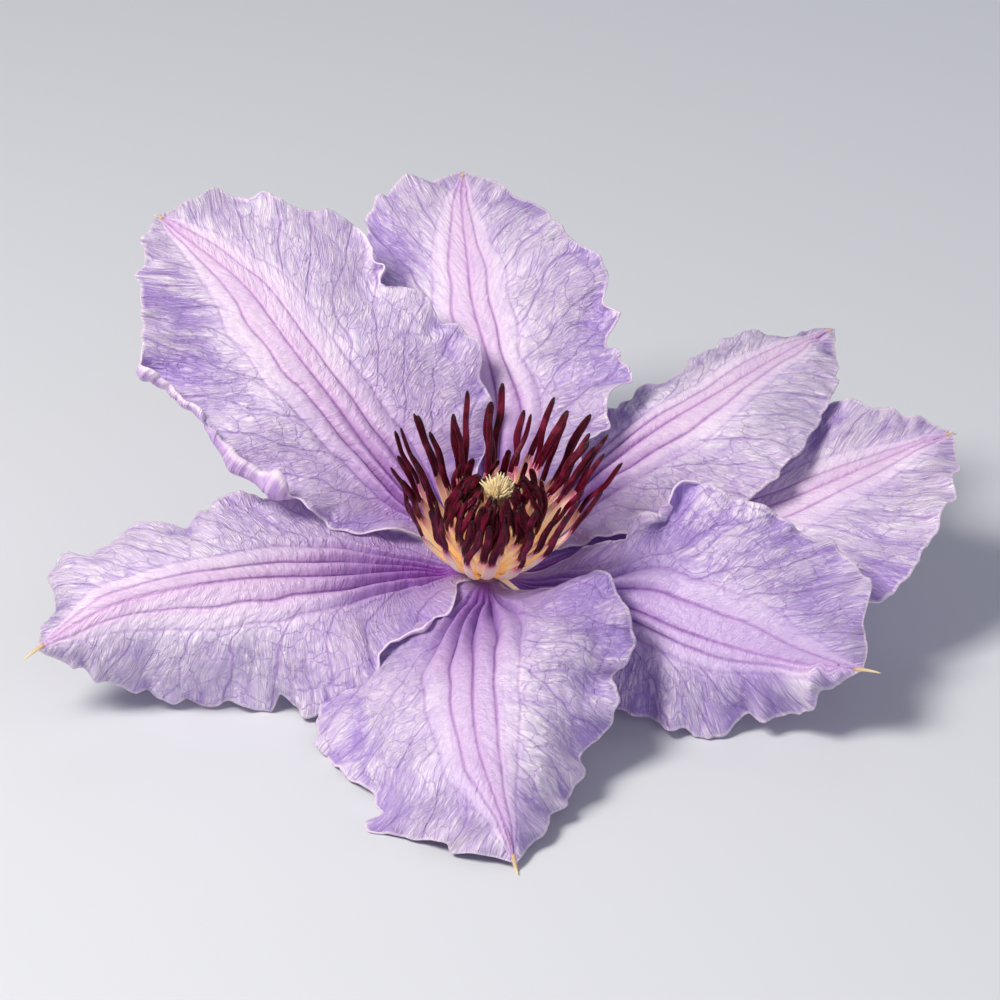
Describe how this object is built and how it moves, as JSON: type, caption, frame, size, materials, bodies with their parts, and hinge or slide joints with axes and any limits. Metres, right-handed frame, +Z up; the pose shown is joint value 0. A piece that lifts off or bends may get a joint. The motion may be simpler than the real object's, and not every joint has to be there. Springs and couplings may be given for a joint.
{
  "type": "clematis flower",
  "caption": "Wide-open clematis bloom with broad ruffled sepals around a bowl of long dark stamens, on a short bent stem lying on a surface.",
  "frame": {"origin": "on the surface it lies on, under the middle of its box", "axes": "+Z up from the surface; the face of the flower leans towards -Y and the cut stem lies towards +Y; +X to the viewer's right"},
  "size_m": [0.1381, 0.1258, 0.056],
  "materials": {
    "sepal": "thin living petal tissue, lilac with a pinker bar, satin sheen",
    "stem": "green stalk with a purple-brown flush and short down",
    "style": "pale straw styles, matt and silky",
    "stamen": "dark maroon satin anthers on flat cream filaments"
  },
  "bodies": {
    "root": {"sepal_1": "sepal", "sepal_2": "sepal", "sepal_3": "sepal", "sepal_4": "sepal", "sepal_5": "sepal", "sepal_6": "sepal", "sepal_7": "sepal", "stem": "stem", "pistils": "style", "inner_stamens": "stamen", "stamen_01": "stamen", "stamen_02": "stamen", "stamen_03": "stamen", "stamen_04": "stamen", "stamen_05": "stamen", "stamen_06": "stamen", "stamen_07": "stamen", "stamen_08": "stamen", "stamen_09": "stamen", "stamen_10": "stamen", "stamen_11": "stamen", "stamen_12": "stamen", "stamen_13": "stamen", "stamen_14": "stamen", "stamen_15": "stamen", "stamen_16": "stamen", "stamen_17": "stamen", "stamen_18": "stamen", "stamen_19": "stamen", "stamen_20": "stamen", "stamen_21": "stamen", "stamen_22": "stamen", "stamen_23": "stamen", "stamen_24": "stamen", "stamen_25": "stamen", "stamen_26": "stamen", "stamen_27": "stamen", "stamen_28": "stamen", "stamen_29": "stamen", "stamen_30": "stamen", "stamen_31": "stamen", "stamen_32": "stamen", "stamen_33": "stamen", "stamen_34": "stamen", "stamen_35": "stamen", "stamen_36": "stamen", "stamen_37": "stamen", "stamen_38": "stamen", "stamen_39": "stamen", "stamen_40": "stamen", "stamen_41": "stamen", "stamen_42": "stamen", "stamen_43": "stamen", "stamen_44": "stamen", "stamen_45": "stamen", "stamen_46": "stamen", "stamen_47": "stamen", "stamen_48": "stamen"}
  },
  "joints": []
}
